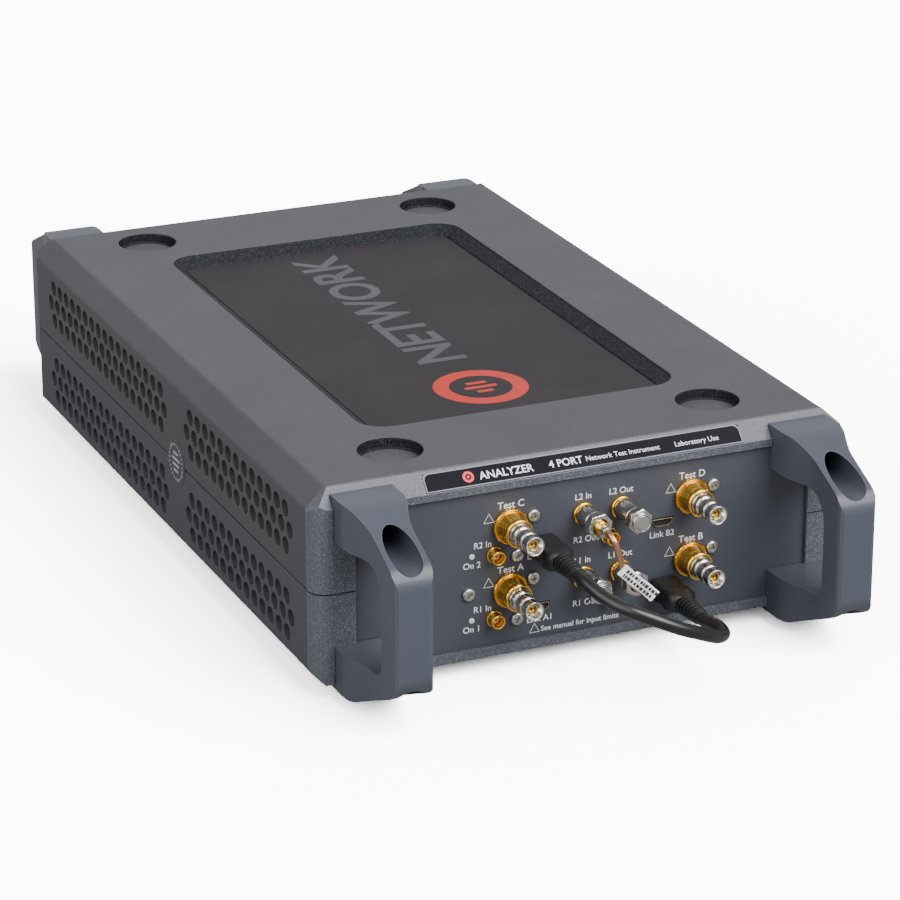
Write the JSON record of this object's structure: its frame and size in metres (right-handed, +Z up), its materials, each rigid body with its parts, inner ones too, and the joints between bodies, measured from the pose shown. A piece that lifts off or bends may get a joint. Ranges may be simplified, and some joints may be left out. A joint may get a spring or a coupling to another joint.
{
  "type": "vector network analyzer",
  "caption": "Compact benchtop vector network analyzer: two stacked modules in one grey case with four handles, gold test ports, a semi-rigid jumper and a control lead.",
  "frame": {"origin": "centre of the case and its handles in plan, on the surface that the rubber feet rest on", "axes": "+X right seen from the front panel, +Y from the front panel to the rear panel, +Z up"},
  "size_m": [0.1966, 0.3902, 0.074],
  "materials": {
    "cover_paint": "satin, fine texture",
    "bezel_paint": "fine hammertone, half gloss",
    "handle_paint": "smooth satin",
    "panel_paint": "smooth matte",
    "strip_film": "smooth printed film",
    "label_film": "smooth printed film",
    "sticker_film": "thin foil sticker",
    "black_steel": "black oxide",
    "plain_steel": "bright nickel plate",
    "polished_steel": "turned and polished",
    "gold_plate": "gold plated",
    "socket_shell": "plain formed shell",
    "light_lens": "clear lens",
    "copper_coax": "tin and copper outer of a semi-rigid line",
    "flag_label": "white folded sticker",
    "black_jacket": "smooth jacket",
    "black_plastic": "moulded",
    "foot_rubber": "moulded",
    "bare_aluminium": "milled",
    "green_board": "solder mask",
    "fan_plastic": "moulded"
  },
  "bodies": {
    "case": {"cover_upper": "cover_paint", "cover_lower": "cover_paint", "bezel_front_upper": "bezel_paint", "bezel_front_lower": "bezel_paint", "bezel_rear_upper": "bezel_paint", "bezel_rear_lower": "bezel_paint", "front_panel": "panel_paint", "rear_panel": "panel_paint", "label_strip": "strip_film", "top_label": "label_film", "seal_stickers": "sticker_film", "handle_front_left": "handle_paint", "handle_front_right": "handle_paint", "handle_rear_left": "handle_paint", "handle_rear_right": "handle_paint", "handle_screws": "black_steel", "rubber_feet": "foot_rubber", "case_screws": "plain_steel", "panel_screws": "plain_steel", "port_1_flange": "gold_plate", "port_2_flange": "gold_plate", "port_3_flange": "gold_plate", "port_4_flange": "gold_plate", "port_1_barrel": "polished_steel", "port_2_barrel": "polished_steel", "port_3_barrel": "polished_steel", "port_4_barrel": "polished_steel", "port_contacts": "gold_plate", "lo1_in_jack": "gold_plate", "lo1_out_jack": "gold_plate", "lo2_in_jack": "gold_plate", "lo2_out_jack": "gold_plate", "ref_jacks": "gold_plate", "ctrl_sockets": "socket_shell", "status_lights": "light_lens", "chassis_tray": "bare_aluminium", "front_board": "green_board", "rf_block_lower": "bare_aluminium", "rf_block_upper": "bare_aluminium", "module_board_lower": "green_board", "module_board_upper": "green_board", "heat_sinks": "bare_aluminium", "power_board": "green_board", "fan_frames": "fan_plastic", "rear_jacks": "gold_plate", "ground_post": "plain_steel"},
    "fan_front": {"fan_rotor_front": "fan_plastic"},
    "fan_rear": {"fan_rotor_rear": "fan_plastic"},
    "jumper": {"jumper_coax": "copper_coax", "jumper_ferrules": "gold_plate", "jumper_label": "flag_label"},
    "jumper_nut_top": {"jumper_nut_lo2_in": "polished_steel"},
    "jumper_nut_bottom": {"jumper_nut_lo1_out": "polished_steel"},
    "cap_lo2_out": {"cap_load_lo2_out": "polished_steel"},
    "cap_nut_lo2_out": {"cap_nut_lo2_out": "polished_steel"},
    "cap_lo1_in": {"cap_load_lo1_in": "polished_steel"},
    "cap_nut_lo1_in": {"cap_nut_lo1_in": "polished_steel"},
    "control_lead": {"control_cable": "black_jacket", "control_plug_s2": "black_plastic", "control_plug_m1": "black_plastic"}
  },
  "joints": [
    {"name": "fan_front_spin", "type": "hinge", "parent": "case", "child": "fan_front", "pos_m": [0.082, -0.0755, 0.0385], "axis": [1, 0, 0], "continuous": true},
    {"name": "fan_rear_spin", "type": "hinge", "parent": "case", "child": "fan_rear", "pos_m": [0.082, 0.0615, 0.0385], "axis": [1, 0, 0], "continuous": true},
    {"name": "jumper_pull", "type": "slide", "parent": "case", "child": "jumper", "axis": [0, -1, 0], "range_m": [0, 0.01]},
    {"name": "jumper_nut_top_turn", "type": "hinge", "parent": "jumper", "child": "jumper_nut_top", "pos_m": [-0.001, -0.156, 0.052], "axis": [0, -1, 0], "range_deg": [0, 1260]},
    {"name": "jumper_nut_bottom_turn", "type": "hinge", "parent": "jumper", "child": "jumper_nut_bottom", "pos_m": [0.013, -0.156, 0.029], "axis": [0, -1, 0], "range_deg": [0, 1260]},
    {"name": "cap_lo2_out_travel", "type": "slide", "parent": "case", "child": "cap_lo2_out", "axis": [0, -1, 0], "range_m": [0, 0.00246]},
    {"name": "cap_lo2_out_turn", "type": "hinge", "parent": "cap_lo2_out", "child": "cap_nut_lo2_out", "pos_m": [0.013, -0.158, 0.052], "axis": [0, -1, 0], "range_deg": [0, 1260]},
    {"name": "cap_lo1_in_travel", "type": "slide", "parent": "case", "child": "cap_lo1_in", "axis": [0, -1, 0], "range_m": [0, 0.00246]},
    {"name": "cap_lo1_in_turn", "type": "hinge", "parent": "cap_lo1_in", "child": "cap_nut_lo1_in", "pos_m": [-0.001, -0.158, 0.029], "axis": [0, -1, 0], "range_deg": [0, 1260]},
    {"name": "control_lead_pull", "type": "slide", "parent": "case", "child": "control_lead", "axis": [0, -1, 0], "range_m": [0, 0.006]}
  ],
  "couplings": [
    {"joint": "cap_lo2_out_turn", "follows": "cap_lo2_out_travel", "rad_per_m": 8905.3},
    {"joint": "cap_lo1_in_turn", "follows": "cap_lo1_in_travel", "rad_per_m": 8905.3}
  ]
}
